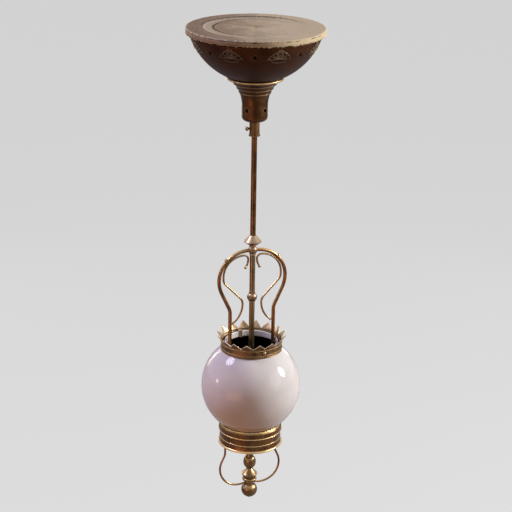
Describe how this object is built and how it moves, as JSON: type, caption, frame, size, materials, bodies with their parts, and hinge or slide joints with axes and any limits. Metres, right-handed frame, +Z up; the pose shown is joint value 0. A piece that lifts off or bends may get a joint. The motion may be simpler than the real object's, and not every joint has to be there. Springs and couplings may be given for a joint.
{
  "type": "pendant ceiling light",
  "caption": "Hall pendant light: opal globe between a toothed crown and a spun gallery, hung from a vented canopy bowl by a stem and a harp of bent tubes.",
  "frame": {"origin": "centre of the ceiling block's top face, on the ceiling", "axes": "+Z up into the ceiling, +X along the harp towards its right-hand arm, -Y the front; the picture looks from the front and 20 degrees to the left"},
  "size_m": [0.266, 0.266, 0.9884],
  "materials": {
    "painted_block": "old cream paint, chipped, on a turned wooden block",
    "iron": "plain dark iron",
    "brass": "plain brass, dull",
    "aged_brass": "aged brass, brown in the hollows",
    "dark_bronze": "dark bronze patina on spun brass",
    "lamp_glass": "frosted",
    "opal_glass": "glossy opal",
    "felt": "pressed green felt"
  },
  "bodies": {
    "ceiling": {"ceiling_block": "painted_block", "ceiling_flange": "iron", "flange_screws": "iron", "socket_cap": "brass"},
    "pendant": {"swivel_ball": "brass", "stem_tube": "aged_brass", "double_cone": "aged_brass", "hub_ball": "aged_brass", "arm_left": "aged_brass", "arm_right": "aged_brass", "scroll_left": "aged_brass", "scroll_right": "aged_brass", "scroll_screws": "aged_brass", "centre_rod": "aged_brass", "rod_bead": "aged_brass", "lampholder_left": "brass", "lampholder_right": "brass"},
    "lamp_l": {"lamp_left": "lamp_glass"},
    "lamp_r": {"lamp_right": "lamp_glass"},
    "canopy": {"canopy_bowl": "dark_bronze", "neck_cup": "dark_bronze", "slip_collar": "aged_brass", "lock_nut": "brass"},
    "thumb": {"thumbscrew": "aged_brass"},
    "lantern": {"glass_globe": "opal_glass", "crown_ring": "aged_brass", "crown_clips": "aged_brass", "clip_screws": "aged_brass", "gallery": "aged_brass", "felt_ring": "felt", "finial_spindle": "aged_brass", "loop_left": "aged_brass", "loop_right": "aged_brass", "loop_collar": "aged_brass"},
    "washer": {"nut_washer": "aged_brass"},
    "nut": {"ball_nut": "aged_brass"}
  },
  "joints": [
    {"name": "pendant_swing", "type": "hinge", "parent": "ceiling", "child": "pendant", "pos_m": [0, 0, -0.044], "axis": [0, 1, 0], "range_deg": [-1, 1]},
    {"name": "canopy_drop", "type": "slide", "parent": "pendant", "child": "canopy", "axis": [0, 0, -1], "range_m": [0, 0.199]},
    {"name": "thumbscrew_turn", "type": "hinge", "parent": "canopy", "child": "thumb", "pos_m": [0, 0, -0.1961], "axis": [-1, 0, 0], "range_deg": [0, 720]},
    {"name": "lamp_left_out", "type": "slide", "parent": "pendant", "child": "lamp_l", "axis": [0, 0, -1], "range_m": [0, 0.025]},
    {"name": "lamp_right_out", "type": "slide", "parent": "pendant", "child": "lamp_r", "axis": [0, 0, -1], "range_m": [0, 0.025]},
    {"name": "lantern_drop", "type": "slide", "parent": "pendant", "child": "lantern", "axis": [0, 0, -1], "range_m": [0, 0.36]},
    {"name": "washer_drop", "type": "slide", "parent": "lantern", "child": "washer", "axis": [0, 0, -1], "range_m": [0, 0.0045]},
    {"name": "nut_turn", "type": "hinge", "parent": "washer", "child": "nut", "pos_m": [0, 0, -0.96945], "axis": [0, 0, -1], "range_deg": [0, 1080]}
  ],
  "couplings": [
    {"joint": "nut_turn", "follows": "washer_drop", "rad_per_m": 4188.8}
  ]
}
